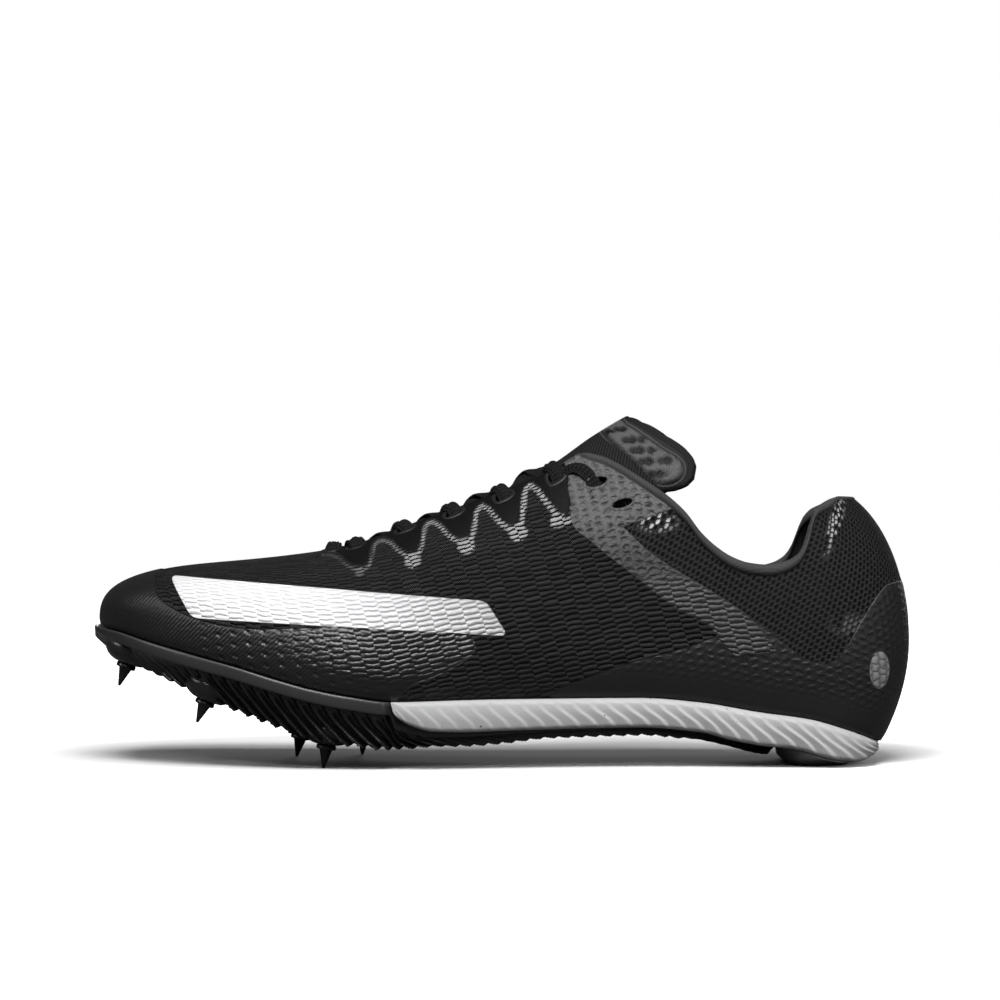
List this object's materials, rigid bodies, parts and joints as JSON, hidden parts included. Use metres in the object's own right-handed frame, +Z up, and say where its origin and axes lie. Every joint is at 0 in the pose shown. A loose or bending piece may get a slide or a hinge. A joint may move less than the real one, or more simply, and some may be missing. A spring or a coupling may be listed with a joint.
{
  "type": "track spike shoe",
  "caption": "Low sprint spike shoe for the left foot: knitted upper with laces and padded tongue, foam midsole with ribbed sides, stiff spike plate and heel pad.",
  "frame": {"origin": "middle of the flat spot under the heel, on the floor", "axes": "+Z up, -X towards the toe, +X towards the heel, -Y towards the lateral (outer) side, +Y towards the medial (inner) side"},
  "size_m": [0.2856, 0.092, 0.122],
  "materials": {
    "upper": "matte knit with raised ridges",
    "film_black": "glossy fused film",
    "film_grey": "satin fused film",
    "lace": "flat woven lace",
    "tongue": "matte knit",
    "insole": "matte felt",
    "midsole": "satin foam with dark specks",
    "plate": "glossy nylon",
    "heel_rubber": "satin rubber",
    "spike": "blackened steel"
  },
  "bodies": {
    "root": {"upper": "upper", "tongue": "tongue", "laces": "lace", "insole": "insole", "saddle_lateral": "film_grey", "saddle_medial": "film_grey", "heel_counter": "film_black", "toe_cap": "film_black", "midsole": "midsole", "spike_plate": "plate", "heel_pad": "heel_rubber", "spike_toe_lateral": "spike", "spike_toe_medial": "spike", "spike_front_lateral": "spike", "spike_front_medial": "spike", "spike_ball_middle": "spike", "spike_ball_lateral": "spike", "spike_ball_medial": "spike"}
  },
  "joints": []
}
